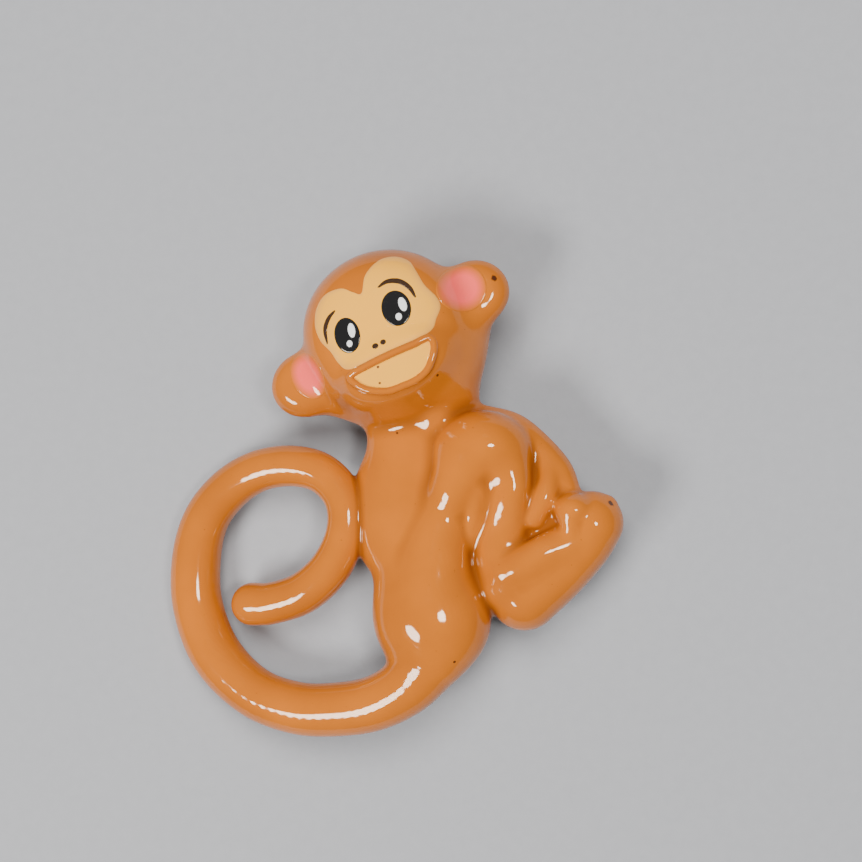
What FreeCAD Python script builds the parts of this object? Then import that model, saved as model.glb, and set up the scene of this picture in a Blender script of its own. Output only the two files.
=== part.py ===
import FreeCAD, Part
import math
import os

# Enamelled monkey brooch, in millimetres.
#
# A hollow-backed white-metal casting of a crouching monkey seen from its side, coated with brown enamel
# on its front and sides. The painted face is a set of thin enamel pieces on the front of the head. A bar
# finding is soldered across the back: a plate with a riveted hinge, a pin stem and a turning catch.
#
# Frame: +Z points out of the face of the brooch, +Y towards the monkey's head, +X towards its feet.
# The brooch lies on its back on the plane z = 0, resting on the hinge, the catch and the curl of the tail.

doc = FreeCAD.newDocument("monkey_brooch")
sheet = doc.addObject("Spreadsheet::Sheet", "Sheet")

# ---------------------------------------------------------------- driving dimensions

SIZES = {
    # heights above the table
    "back": 3.4,  # rim of the hollow back
    "hollow_top": 6.7,  # ceiling of the hollow
    # skins
    "enamel": 0.25,
    "hollow_share": 0.62,  # size of each pocket of the hollow beside the form above it
    "inlay_gap": 0.02,
    "inlay": 0.14,  # thickness of the painted enamel pieces
    # tail
    "tail_root": 2.7,  # radius where it leaves the rump
    "tail_end": 1.85,  # radius at the curled end
    "tail_slope": 11.0,  # the ring leans back by this angle
    "tail_lift": 5.49,  # height of its centre line above the origin
    "tail_flat": 1.5,  # from the centre line to the flat underside
    # pin finding
    "bar_x": 5.0,
    "bar_wide": 3.0,
    "bar_thick": 0.6,
    "bar_top_end": 9.6,
    "bar_low_end": -9.6,
    "post_y": 5.3,  # the bar's fixing posts, above and below the middle
    "post_radius": 1.7,
    "post_hole": 0.8,
    "hinge_y": 8.2,
    "ear_gap": 1.0,
    "ear_thick": 0.45,
    "rivet": 0.35,
    "rivet_head": 0.6,
    "rivet_head_thick": 0.2,
    "eye_radius": 0.95,
    "eye_thick": 0.9,
    "running": 0.05,  # radial clearance of the stem's eye on its rivet
    "stem": 0.4,
    "stem_root": 0.43,  # the thicker root beside the eye
    "root_end": 6.4,
    "free_end": -6.2,  # where the stem starts to taper to its point
    "point_end": -11.0,
    "point": 0.08,
    "catch_radius": 1.35,
    "catch_bore": 0.98,
    "catch_slot": 0.55,  # half width of the slot the stem drops through
    "catch_long": 2.4,
    "rotor_radius": 0.93,
    "rotor_bore": 0.48,
    "rotor_slot": 0.5,
    "collar": 1.2,
    "collar_thick": 0.4,
    "lever": 1.9,
    "lever_wide": 0.8,
    "end_play": 0.1,
    "solder_cap": 0.2,
    "solder_flare": 0.3,
    # small allowances
    "overlap": 0.1,  # how far joined shapes run into each other
    "post_sink": 0.5,  # how far a post runs into the hollow's ceiling
    "hole_play": 0.01,
}

# Forms of the figure: centre x, y, z, then half sizes wide, tall, deep, and the turn about Z in degrees.
FORMS = {
    "head": (-0.3, 14.3, 6.6, 8.2, 7.4, 5.4, 29.0),
    "right_ear": (7.6, 17.9, 6.4, 3.2, 2.9, 1.9, 15.0),
    "left_ear": (-7.3, 10.5, 6.4, 3.3, 2.8, 1.9, 30.0),
    "neck": (2.7, 6.7, 5.5, 5.1, 5.6, 3.7, 0.0),
    "torso": (3.6, -2.6, 5.3, 5.6, 11.0, 4.2, 3.0),
    "shoulder": (9.4, 2.8, 5.2, 5.5, 5.6, 3.4, -40.0),
    "rump": (4.0, -11.4, 5.9, 5.4, 6.4, 4.2, 6.0),
    "thigh": (6.5, -2.6, 6.5, 4.2, 10.3, 4.0, -19.0),
    "calf": (10.9, -5.3, 6.0, 4.5, 6.6, 3.9, -10.0),
    "foot": (15.4, -5.6, 5.8, 3.7, 7.2, 3.4, -44.0),
    "web": (-2.3, -1.9, 4.9, 2.3, 5.4, 1.9, 0.0),
}
FORM_KEYS = ("x", "y", "z", "wide", "tall", "deep", "turn")
HOLLOWED = ("head", "neck", "torso", "rump", "shoulder", "calf")

# Centre line of the tail in its own plane, from inside the rump round the ring to the curled end.
TAIL_ROUTE = (
    (4.3, -14.4),
    (2.0, -17.0),
    (-1.2, -18.8),
    (-4.7, -19.5),
    (-8.8, -19.6),
    (-13.2, -18.4),
    (-17.0, -15.1),
    (-18.9, -10.6),
    (-19.1, -6.2),
    (-18.0, -2.5),
    (-15.7, 0.3),
    (-12.7, 2.0),
    (-9.4, 2.5),
    (-6.3, 1.8),
    (-4.3, -0.4),
    (-4.1, -3.4),
    (-5.5, -6.6),
    (-8.2, -8.8),
    (-11.3, -9.9),
    (-13.2, -10.1),
)
# The rounded end: distance beyond the route's last point and share of the end radius.
TAIL_TIP = ((0.9, 0.86), (1.5, 0.55), (1.75, 0.2))

BIG = 60.0  # larger than the brooch in every direction
PRISM_HIGH = 10.0  # from the middle of a form to well above its painted skins
row = 0


def cell(alias, value):
    """One named number in the sheet."""
    global row
    row += 1
    sheet.set("A%d" % row, alias)
    sheet.set("B%d" % row, "%g" % value)
    sheet.setAlias("B%d" % row, alias)


for alias, value in SIZES.items():
    cell(alias, value)
for form, numbers in FORMS.items():
    for key, value in zip(FORM_KEYS, numbers):
        cell("%s_%s" % (form, key), value)
doc.recompute()


def size(alias):
    """A sheet number, for the few places that an expression can't reach."""
    return float(sheet.get(alias))


def bind(obj, **expressions):
    """Bind an object's sizes to expressions over the sheet."""
    for name, expression in expressions.items():
        obj.setExpression(name, expression)
    return obj


def at(obj, x, y, z):
    """Bind the three coordinates of an object's place."""
    obj.setExpression("Placement.Base.x", x)
    obj.setExpression("Placement.Base.y", y)
    obj.setExpression("Placement.Base.z", z)
    return obj


def turned(obj, axis, angle):
    """Turn an object about an axis through its own origin."""
    obj.Placement = FreeCAD.Placement(FreeCAD.Vector(), FreeCAD.Rotation(FreeCAD.Vector(*axis), angle))
    return obj


X_AXIS = (1, 0, 0)
Y_AXIS = (0, 1, 0)
Z_AXIS = (0, 0, 1)


# ---------------------------------------------------------------- building blocks


def ellipsoid(name, form, inset="0"):
    """A form of the figure, made smaller all round by an inset."""
    body = doc.addObject("Part::Ellipsoid", name)
    turned(body, Z_AXIS, 1.0)
    bind(
        body,
        Radius1="Sheet.%s_deep - (%s)" % (form, inset),
        Radius2="Sheet.%s_wide - (%s)" % (form, inset),
        Radius3="Sheet.%s_tall - (%s)" % (form, inset),
    )
    body.setExpression("Placement.Rotation.Angle", "Sheet.%s_turn" % form)
    return at(body, "Sheet.%s_x" % form, "Sheet.%s_y" % form, "Sheet.%s_z" % form)


def box(name, low, wide, long, high):
    body = doc.addObject("Part::Box", name)
    bind(body, Length=wide, Width=long, Height=high)
    return at(body, *low)


def rod(name, axis, start, radius, long):
    """A cylinder from its start point along a row axis."""
    body = doc.addObject("Part::Cylinder", name)
    if axis == X_AXIS:
        turned(body, Y_AXIS, 90.0)
    if axis == Y_AXIS:
        turned(body, X_AXIS, -90.0)
    bind(body, Radius=radius, Height=long)
    return at(body, *start)


def fuse(name, shapes):
    """Joined one after another, which copes better with curved forms than all of them at once."""
    joined = shapes[0]
    for i, shape in enumerate(shapes[1:], 1):
        step = doc.addObject("Part::Fuse", "%s_step_%02d" % (name, i))
        step.Base = joined
        step.Tool = shape
        joined = step
    return joined


def common(name, shapes):
    shared = doc.addObject("Part::MultiCommon", name)
    shared.Shapes = shapes
    return shared


def upright(name, outline, height):
    """A closed outline raised straight up."""
    prism = doc.addObject("Part::Extrusion", name)
    prism.Base = outline
    prism.DirMode = "Custom"
    prism.Dir = FreeCAD.Vector(0, 0, 1)
    prism.setExpression("LengthFwd", height)
    prism.Solid = True
    return prism


def cut(name, base, tool):
    rest = doc.addObject("Part::Cut", name)
    rest.Base = base
    rest.Tool = tool
    return rest


def block_above(name, height):
    """Everything above a level."""
    half = "-%g" % (BIG / 2)
    return box(name, (half, half, height), "%g" % BIG, "%g" % BIG, "%g" % BIG)


# ---------------------------------------------------------------- the tail


def tail_sections(inset):
    """Circles across the tail, each square to its route, with the top of each circle upwards."""
    points = [FreeCAD.Vector(x, y, 0) for x, y in TAIL_ROUTE]
    last = len(points) - 1
    sections = []
    for i, point in enumerate(points):
        ahead = points[min(i + 1, last)] - points[max(i - 1, 0)]
        share = i / last
        radius = "Sheet.tail_root + (Sheet.tail_end - Sheet.tail_root) * %g - (%s)" % (share, inset)
        sections.append((point, ahead, radius))
    ahead = (points[last] - points[last - 1]).normalize()
    for beyond, share in TAIL_TIP:
        radius = "(Sheet.tail_end - (%s)) * %g" % (inset, share)
        sections.append((points[last] + ahead * beyond, ahead, radius))
    return sections


def tail_tube(name, inset):
    """The tapering tube of the tail in its own plane."""
    circles = []
    for i, (point, ahead, radius) in enumerate(tail_sections(inset)):
        circle = doc.addObject("Part::Circle", "%s_circle_%02d" % (name, i))
        circle.setExpression("Radius", radius)
        rotation = FreeCAD.Rotation(FreeCAD.Vector(0, 0, 1), FreeCAD.Vector(), ahead, "ZXY")
        circle.Placement = FreeCAD.Placement(point, rotation)
        circles.append(circle)
    tube = doc.addObject("Part::Loft", name)
    tube.Sections = circles
    tube.Solid = True
    tube.Ruled = False
    return tube


def tail(name, inset, underside):
    """The tail cut off flat underneath, then leant back about the Y axis."""
    tube = tail_tube(name + "_tube", inset)
    flat = common(name, [tube, block_above(name + "_side", underside)])
    turned(flat, Y_AXIS, 1.0)
    flat.setExpression("Placement.Rotation.Angle", "-Sheet.tail_slope")
    return at(flat, "0", "0", "Sheet.tail_lift")


# ---------------------------------------------------------------- casting and its brown coat


def figure(name, inset, back):
    """All forms of the figure down to the level of its back, without the tail."""
    shapes = [ellipsoid("%s_%s" % (name, form), form, inset) for form in FORMS]
    whole = fuse(name + "_forms", shapes)
    return common(name, [whole, block_above(name + "_side", back)])


def hollow_pocket(form):
    """A straight-sided oval pocket under one thick form."""
    ellipse = doc.addObject("Part::Ellipse", "hollow_line_" + form)
    wide = size(form + "_wide")
    tall = size(form + "_tall")
    ellipse.MajorRadius = max(wide, tall) * size("hollow_share")
    ellipse.MinorRadius = min(wide, tall) * size("hollow_share")
    quarter = 90.0 if tall > wide else 0.0
    turn = FreeCAD.Rotation(FreeCAD.Vector(0, 0, 1), size(form + "_turn") + quarter)
    ellipse.Placement = FreeCAD.Placement(FreeCAD.Vector(size(form + "_x"), size(form + "_y"), 0), turn)
    return upright("hollow_" + form, ellipse, "Sheet.hollow_top")


def hollowed(solid):
    """The casting with a pocket cut under each thick form, one pocket after another."""
    shell = solid
    for form in HOLLOWED:
        shell = cut("shell_under_" + form, shell, hollow_pocket(form))
    return shell


def post(name, side):
    """A fixing post for the bar, from the hollow's ceiling to the rim."""
    start = ("Sheet.bar_x", "%s Sheet.post_y" % side, "Sheet.back")
    return rod(name, Z_AXIS, start, "Sheet.post_radius", "Sheet.hollow_top - Sheet.back + Sheet.post_sink")


def casting():
    metal = figure("metal_figure", "Sheet.enamel", "Sheet.back")
    metal_tail = tail("metal_tail", "Sheet.enamel", "-Sheet.tail_flat")
    solid = fuse("metal_solid", [metal, metal_tail])
    shell = hollowed(solid)
    return solid, fuse("casting", [shell, post("upper_post", "+"), post("lower_post", "-")])


def coat(metal):
    """Brown enamel over the front and sides. It stops above the back rim and the tail's flat."""
    skin = figure("coat_figure", "0", "Sheet.back + Sheet.enamel")
    skin_tail = tail("coat_tail", "0", "Sheet.enamel - Sheet.tail_flat")
    return cut("coat", fuse("coat_solid", [skin, skin_tail]), metal)


# ---------------------------------------------------------------- painted enamel pieces


def layer(name, form, low, high):
    """A thin shell over a form, between two heights above the brown enamel."""
    outer = ellipsoid(name + "_outer", form, "-(%s)" % high)
    inner = ellipsoid(name + "_inner", form, "-(%s)" % low)
    return cut(name, outer, inner)


def oval(name, form, u, v, half_u, half_v, turn=0.0):
    """An upright oval prism, placed in a form's own turned frame."""
    ellipse = doc.addObject("Part::Ellipse", name + "_line")
    ellipse.MajorRadius = max(half_u, half_v)
    ellipse.MinorRadius = min(half_u, half_v)
    quarter = 90.0 if half_v > half_u else 0.0
    form_turn = FreeCAD.Rotation(FreeCAD.Vector(0, 0, 1), size(form + "_turn"))
    centre = FreeCAD.Vector(size(form + "_x"), size(form + "_y"), size(form + "_z"))
    own_turn = FreeCAD.Rotation(FreeCAD.Vector(0, 0, 1), size(form + "_turn") + turn + quarter)
    ellipse.Placement = FreeCAD.Placement(centre + form_turn.multVec(FreeCAD.Vector(u, v, 0)), own_turn)
    return upright(name, ellipse, "%g" % PRISM_HIGH)


def band(name, form, low_v, high_v):
    """An upright slab right across a form, between two distances up its own turned frame."""
    slab = doc.addObject("Part::Box", name)
    slab.Length = BIG
    slab.Width = high_v - low_v
    slab.Height = BIG
    turn = FreeCAD.Rotation(FreeCAD.Vector(0, 0, 1), size(form + "_turn"))
    centre = FreeCAD.Vector(size(form + "_x"), size(form + "_y"), 0)
    corner = turn.multVec(FreeCAD.Vector(-BIG / 2, low_v, 0))
    slab.Placement = FreeCAD.Placement(centre + corner, turn)
    return slab


def inlay(name, form, low, thick, outline):
    """The part of a thin layer that lies inside an outline."""
    skin = layer(name + "_layer", form, low, "%s + %s" % (low, thick))
    return common(name, [skin, outline])


FIRST = "Sheet.inlay_gap"
SECOND = "Sheet.inlay_gap * 2 + Sheet.inlay"
THIRD = "Sheet.inlay_gap * 3 + Sheet.inlay * 2"
THIN = "Sheet.inlay"

MOUTH_V = -2.3  # the straight lower edge of the face, up the head's own frame
FACE_REACH = 9.0  # past the outlines of the face in either direction
WELT = 0.5  # width of the brown line between the face and the muzzle
BROW = (1.75, 1.35)  # half sizes of a brow's upper oval
BROW_CUT = (1.85, 1.4)  # and of the oval that cuts its lower side
BROW_THICK = 0.4
EAR_SPOT = (1.5, 1.7)


def face_outline():
    """A heart: two lobes over the eyes and a middle, cut off straight above the mouth."""
    left = oval("face_left", "head", -1.35, 1.6, 2.9, 3.6, 14.0)
    right = oval("face_right", "head", 3.6, 1.5, 3.0, 3.9, -8.0)
    middle = oval("face_middle", "head", 1.0, 0.0, 3.6, 2.6)
    mouth_side = band("face_mouth_side", "head", -FACE_REACH, MOUTH_V)
    return cut("face_outline", fuse("face_lobes", [left, right, middle]), mouth_side)


def muzzle_outline():
    """A half moon under the mouth line."""
    moon = oval("muzzle_moon", "head", 0.75, -2.7, 3.7, 2.7)
    above = band("muzzle_above", "head", MOUTH_V - WELT, FACE_REACH)
    return cut("muzzle_outline", moon, above)


def crescent(name, u, v, turn):
    """An eyebrow: what one oval leaves of another a little lower."""
    outer = oval(name + "_outer", "head", u, v, *BROW, turn)
    lean = math.radians(turn)
    lower_u = u + BROW_THICK * math.sin(lean)
    lower_v = v - BROW_THICK * math.cos(lean)
    inner = oval(name + "_inner", "head", lower_u, lower_v, *BROW_CUT, turn)
    return cut(name + "_outline", outer, inner)


def ear_spot(ear, u, v):
    """A pink spot on an ear, clear of the side of the head."""
    spot = inlay(ear + "_pink", ear, FIRST, THIN, oval(ear + "_spot", ear, u, v, *EAR_SPOT))
    return cut(ear + "_spot_clear", spot, ellipsoid(ear + "_head", "head", "-(%s)" % FIRST))


# Ovals on the head: place u, v in the head's own frame, half sizes and turn.
LEFT_EYE = (-1.66, 0.66, 1.12, 1.58, -18.0)
RIGHT_EYE = (3.15, 0.63, 1.27, 1.58, -6.0)
GLINTS = {
    "left_glint": (-1.14, 0.95, 0.38, 0.75, -8.0),
    "left_spark": (-1.78, -0.2, 0.26, 0.3),
    "right_glint": (3.85, 0.85, 0.45, 0.75, -8.0),
    "right_spark": (3.1, -0.3, 0.28, 0.3),
}
NOSTRILS = {
    "left_nostril": (0.09, -1.35, 0.25, 0.25),
    "right_nostril": (0.72, -1.3, 0.25, 0.25),
}


def painted_face():
    head = "head"
    left_eye = oval("left_eye_outline", head, *LEFT_EYE)
    right_eye = oval("right_eye_outline", head, *RIGHT_EYE)
    glints = [oval(name, head, *numbers) for name, numbers in GLINTS.items()]
    nostrils = [oval(name, head, *numbers) for name, numbers in NOSTRILS.items()]
    return {
        "face_enamel": inlay("face", head, FIRST, THIN, face_outline()),
        "muzzle_enamel": inlay("muzzle", head, FIRST, THIN, muzzle_outline()),
        "left_eye": inlay("left_eye", head, SECOND, THIN, left_eye),
        "right_eye": inlay("right_eye", head, SECOND, THIN, right_eye),
        "eye_glints": inlay("glints", head, THIRD, THIN, fuse("glint_outlines", glints)),
        "left_brow": inlay("left_brow", head, SECOND, THIN, crescent("left_brow", -2.6, 1.6, 42.0)),
        "right_brow": inlay("right_brow", head, SECOND, THIN, crescent("right_brow", 4.0, 1.9, -26.0)),
        "nostrils": inlay("nostrils", head, SECOND, THIN, fuse("nostril_outlines", nostrils)),
        "left_ear_enamel": ear_spot("left_ear", 0.4, 0.0),
        "right_ear_enamel": ear_spot("right_ear", -0.6, 0.3),
    }


# ---------------------------------------------------------------- the pin finding

# The slot takes the lowest stretch off the round catch, so its axis stands where the two prongs meet z = 0.
AXIS_Z = "sqrt(Sheet.catch_radius ^ 2 - Sheet.catch_slot ^ 2)"
PLATE_LOW = "Sheet.back - Sheet.bar_thick"
CATCH_LOW_Y = "Sheet.bar_low_end"


def bar_plate():
    """The plate with its two fixing holes, and two hinge ears turned down from it."""
    long = "Sheet.bar_top_end - Sheet.bar_low_end"
    low = ("Sheet.bar_x - Sheet.bar_wide / 2", "Sheet.bar_low_end", PLATE_LOW)
    plate = box("bar", low, "Sheet.bar_wide", long, "Sheet.bar_thick")
    ears = []
    holes = []
    for name, x in (
        ("left_ear_plate", "Sheet.bar_x - Sheet.ear_gap / 2 - Sheet.ear_thick"),
        ("right_ear_plate", "Sheet.bar_x + Sheet.ear_gap / 2"),
    ):
        ears.append(rod(name, X_AXIS, (x, "Sheet.hinge_y", AXIS_Z), AXIS_Z, "Sheet.ear_thick"))
        root = (x, "Sheet.hinge_y - %s" % AXIS_Z, AXIS_Z)
        height = "%s - %s + Sheet.overlap" % (PLATE_LOW, AXIS_Z)
        ears.append(box(name + "_root", root, "Sheet.ear_thick", "2 * %s" % AXIS_Z, height))
    across = ("Sheet.bar_x - Sheet.bar_wide", "Sheet.hinge_y", AXIS_Z)
    holes.append(rod("rivet_hole", X_AXIS, across, "Sheet.rivet + Sheet.hole_play", "2 * Sheet.bar_wide"))
    for name, side in (("upper_hole", "+"), ("lower_hole", "-")):
        start = ("Sheet.bar_x", "%s Sheet.post_y" % side, PLATE_LOW)
        holes.append(rod(name, Z_AXIS, start, "Sheet.post_hole", "Sheet.bar_thick"))
    return cut("plate", fuse("plate_solid", [plate] + ears), fuse("plate_holes", holes))


def hinge_rivet():
    half = "(Sheet.ear_gap / 2 + Sheet.ear_thick)"
    centre = ("Sheet.hinge_y", AXIS_Z)
    shank = rod("rivet_shank", X_AXIS, ("Sheet.bar_x - %s" % half,) + centre, "Sheet.rivet", "2 * %s" % half)
    head_thick = "Sheet.rivet_head_thick"
    left_x = "Sheet.bar_x - %s - %s" % (half, head_thick)
    left = rod("rivet_left", X_AXIS, (left_x,) + centre, "Sheet.rivet_head", head_thick)
    right = rod("rivet_right", X_AXIS, ("Sheet.bar_x + %s" % half,) + centre, "Sheet.rivet_head", head_thick)
    return fuse("rivet", [shank, left, right])


def pin_stem():
    """A wire with a flat eye on the rivet and a point that stands just past the catch."""
    centre = ("Sheet.hinge_y", AXIS_Z)
    eye_start = ("Sheet.bar_x - Sheet.eye_thick / 2",) + centre
    eye = rod("stem_eye", X_AXIS, eye_start, "Sheet.eye_radius", "Sheet.eye_thick")
    bore_start = ("Sheet.bar_x - Sheet.eye_thick",) + centre
    bore = rod("stem_bore", X_AXIS, bore_start, "Sheet.rivet + Sheet.running", "2 * Sheet.eye_thick")
    eye_middle = "Sheet.hinge_y - (Sheet.rivet + Sheet.running + Sheet.eye_radius) / 2"
    free_start = ("Sheet.bar_x", "Sheet.free_end", AXIS_Z)
    free = rod("stem_wire", Y_AXIS, free_start, "Sheet.stem", "Sheet.root_end - Sheet.free_end")
    root = doc.addObject("Part::Cone", "stem_root")
    turned(root, X_AXIS, -90.0)
    bind(root, Radius1="Sheet.stem", Radius2="Sheet.stem_root", Height="%s - Sheet.root_end" % eye_middle)
    at(root, "Sheet.bar_x", "Sheet.root_end", AXIS_Z)
    point = doc.addObject("Part::Cone", "stem_point")
    turned(point, X_AXIS, 90.0)
    bind(point, Radius1="Sheet.stem", Radius2="Sheet.point", Height="Sheet.free_end - Sheet.point_end")
    at(point, "Sheet.bar_x", "Sheet.free_end", AXIS_Z)
    return fuse("stem", [cut("stem_ring", eye, bore), root, free, point])


def slot(name, half, start, long):
    """The gap below the axis that lets the stem out."""
    low = ("Sheet.bar_x - %s" % half, start, "-1")
    return box(name, low, "2 * %s" % half, long, "%s + 1" % AXIS_Z)


def catch_housing():
    centre = ("Sheet.bar_x", CATCH_LOW_Y, AXIS_Z)
    tube = rod("catch_tube", Y_AXIS, centre, "Sheet.catch_radius", "Sheet.catch_long")
    foot_z = "%s + Sheet.catch_bore + Sheet.overlap" % AXIS_Z
    foot_low = ("Sheet.bar_x - Sheet.catch_radius / 2", CATCH_LOW_Y, foot_z)
    foot_high = "%s - (%s)" % (PLATE_LOW, foot_z)
    foot = box("catch_foot", foot_low, "Sheet.catch_radius", "Sheet.catch_long", foot_high)
    bore = rod("catch_hole", Y_AXIS, centre, "Sheet.catch_bore", "Sheet.catch_long")
    gap = slot("catch_gap", "Sheet.catch_slot", CATCH_LOW_Y, "Sheet.catch_long")
    return cut("catch", fuse("catch_solid", [tube, foot]), fuse("catch_room", [bore, gap]))


def catch_rotor():
    """A slotted barrel inside the catch, with a collar at one end and a lever at the other."""
    start = "%s - Sheet.end_play - Sheet.collar_thick" % CATCH_LOW_Y
    long = "Sheet.catch_long + 2 * Sheet.end_play + 2 * Sheet.collar_thick"
    inner_end = "%s + Sheet.catch_long + Sheet.end_play" % CATCH_LOW_Y
    barrel = rod("rotor_barrel", Y_AXIS, ("Sheet.bar_x", start, AXIS_Z), "Sheet.rotor_radius", long)
    collar_thick = "Sheet.collar_thick"
    outer = rod("rotor_disc", Y_AXIS, ("Sheet.bar_x", start, AXIS_Z), "Sheet.collar", collar_thick)
    inner = rod("rotor_collar", Y_AXIS, ("Sheet.bar_x", inner_end, AXIS_Z), "Sheet.collar", collar_thick)
    lever_low = ("Sheet.bar_x + Sheet.rotor_bore", start, "%s - Sheet.lever_wide / 2" % AXIS_Z)
    lever = box("rotor_lever", lever_low, "Sheet.lever - Sheet.rotor_bore", collar_thick, "Sheet.lever_wide")
    solid = fuse("rotor_solid", [barrel, outer, inner, lever])
    bore = rod("rotor_hole", Y_AXIS, ("Sheet.bar_x", start, AXIS_Z), "Sheet.rotor_bore", long)
    gap = slot("rotor_gap", "Sheet.rotor_slot", start, long)
    return cut("rotor", solid, fuse("rotor_room", [bore, gap]))


def solder_joints():
    """Solder that fills the plate's two holes and stands a little proud, as two separate buttons."""
    buttons = []
    for name, side in (("upper_button", "+"), ("lower_button", "-")):
        plug_start = ("Sheet.bar_x", "%s Sheet.post_y" % side, PLATE_LOW)
        plug = rod(name + "_plug", Z_AXIS, plug_start, "Sheet.post_hole - Sheet.hole_play", "Sheet.bar_thick")
        cap = doc.addObject("Part::Cone", name + "_cap")
        cap_wide = "Sheet.post_hole + Sheet.solder_flare"
        bind(cap, Radius1="Sheet.post_hole", Radius2=cap_wide, Height="Sheet.solder_cap")
        at(cap, "Sheet.bar_x", "%s Sheet.post_y" % side, "%s - Sheet.solder_cap" % PLATE_LOW)
        buttons.append(fuse(name, [plug, cap]))
    both = doc.addObject("Part::Compound", "buttons")
    both.Links = buttons
    return both


# ---------------------------------------------------------------- assemble, check and write

solid_metal, body = casting()
pieces = {
    "body_casting": body,
    "brown_enamel": coat(solid_metal),
    "bar_plate": bar_plate(),
    "hinge_rivet": hinge_rivet(),
    "pin_stem": pin_stem(),
    "catch_housing": catch_housing(),
    "catch_rotor": catch_rotor(),
    "solder_joints": solder_joints(),
}
pieces.update(painted_face())
for node, piece in pieces.items():
    piece.Label = node
doc.recompute()

for obj in doc.Objects:
    if "Invalid" in obj.State or "Error" in obj.State:
        raise RuntimeError("%s did not build: %s" % (obj.Name, obj.State))
# A pocket lost in a cut leaves a solid that still looks sound, so each one is tried half way up.
for form in HOLLOWED:
    half_way = (size("back") + size("hollow_top")) / 2
    middle = FreeCAD.Vector(size(form + "_x"), size(form + "_y"), half_way)
    if body.Shape.Solids[0].isInside(middle, 0.001, True):
        raise RuntimeError("the hollow is missing under the " + form)

for node, piece in pieces.items():
    if piece.Shape.isNull() or not piece.Shape.isValid() or not piece.Shape.Solids:
        raise RuntimeError("%s has no valid solid" % node)

os.makedirs("parts", exist_ok=True)
for node, piece in pieces.items():
    piece.Shape.exportStep("parts/%s.step" % node)
    bounds = piece.Shape.optimalBoundingBox(False)
    low = (round(bounds.XMin, 2), round(bounds.YMin, 2), round(bounds.ZMin, 2))
    high = (round(bounds.XMax, 2), round(bounds.YMax, 2), round(bounds.ZMax, 2))
    print(node, len(piece.Shape.Solids), "solids", round(piece.Shape.Volume, 3), "mm3", low, high)
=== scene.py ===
import math

import bpy
import numpy as np
import openvdb
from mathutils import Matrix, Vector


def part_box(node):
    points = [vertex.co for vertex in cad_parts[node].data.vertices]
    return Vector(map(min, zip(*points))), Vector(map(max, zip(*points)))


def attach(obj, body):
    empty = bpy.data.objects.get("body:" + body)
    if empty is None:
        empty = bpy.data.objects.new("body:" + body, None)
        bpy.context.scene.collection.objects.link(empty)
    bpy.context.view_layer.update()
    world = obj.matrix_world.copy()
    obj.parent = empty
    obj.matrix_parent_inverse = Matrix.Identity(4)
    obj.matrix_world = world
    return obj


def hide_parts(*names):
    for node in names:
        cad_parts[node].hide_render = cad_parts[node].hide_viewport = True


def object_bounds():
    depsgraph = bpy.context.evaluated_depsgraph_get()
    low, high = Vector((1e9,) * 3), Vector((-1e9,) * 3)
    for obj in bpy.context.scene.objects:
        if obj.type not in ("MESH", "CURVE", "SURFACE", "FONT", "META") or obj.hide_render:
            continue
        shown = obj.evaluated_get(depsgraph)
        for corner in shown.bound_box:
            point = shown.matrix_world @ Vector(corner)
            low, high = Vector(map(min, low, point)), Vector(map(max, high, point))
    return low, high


# Looks of the enamelled monkey brooch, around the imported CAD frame.
#
# The figure is sculpted as one smooth distance field from rounded forms. The bare casting and its brown
# enamel coat are both cut from that field, so they fit each other everywhere. The painted face is a set of
# thin domed patches laid on the sculpted head. The pin finding on the back keeps its CAD shapes.
# Sculpting sizes are millimetres in the row frame; meshes are made in metres.

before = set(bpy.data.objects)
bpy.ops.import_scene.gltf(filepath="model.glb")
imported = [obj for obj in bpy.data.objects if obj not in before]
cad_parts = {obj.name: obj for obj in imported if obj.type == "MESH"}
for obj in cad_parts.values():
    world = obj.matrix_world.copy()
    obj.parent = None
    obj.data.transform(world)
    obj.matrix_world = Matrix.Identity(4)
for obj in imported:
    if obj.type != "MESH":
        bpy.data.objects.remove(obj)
cad_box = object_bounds()
MM = 0.001

# ---------------------------------------------------------------- places taken from the frame


def in_mm(corner):
    return [value / MM for value in corner]


COAT_LOW, COAT_HIGH = [in_mm(corner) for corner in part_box("brown_enamel")]
PLATE_LOW, PLATE_HIGH = [in_mm(corner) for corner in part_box("bar_plate")]
SOLDER_LOW, SOLDER_HIGH = [in_mm(corner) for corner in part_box("solder_joints")]
BACK = PLATE_HIGH[2]  # the casting's rim, on which the bar lies
BAR_X = (PLATE_LOW[0] + PLATE_HIGH[0]) / 2
SOLDER_RADIUS = 1.1
POST_Y = (SOLDER_HIGH[1] - SOLDER_LOW[1]) / 2 - SOLDER_RADIUS  # posts above and below the bar's middle

ENAMEL_EDGE = 0.25  # the coat stops this far above the back rim
COAT_THICK = 0.45  # the coat reaches this deep, past the surface of the metal under it
METAL_INSET = 0.22  # the metal lies this far under the front of the coat
WALL = 1.7  # from the front of the coat to the hollow
HOLLOW_TOP = 6.7  # ceiling of the hollow
POST_RADIUS = 1.7

# The tail leans back about the Y axis.
TAIL_LEAN = math.radians(11.0)
TAIL_SLOPE = math.tan(TAIL_LEAN)
TAIL_LIFT = 5.49  # height of its centre line above the origin
TAIL_FLAT = 1.5 / math.cos(TAIL_LEAN)  # from the centre line straight down to the flat underside

# ---------------------------------------------------------------- the grid and its distance fields

STEP = 0.18  # grid spacing
ROOM = 0.5  # grid beyond the coat on every side
FAR = 3.0  # value of the field away from every shape
REACH = 2.6  # how far from its own box a shape is worked out


def axis_values(low, high):
    return np.arange(low - ROOM, high + ROOM, STEP, dtype=np.float32)


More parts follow.
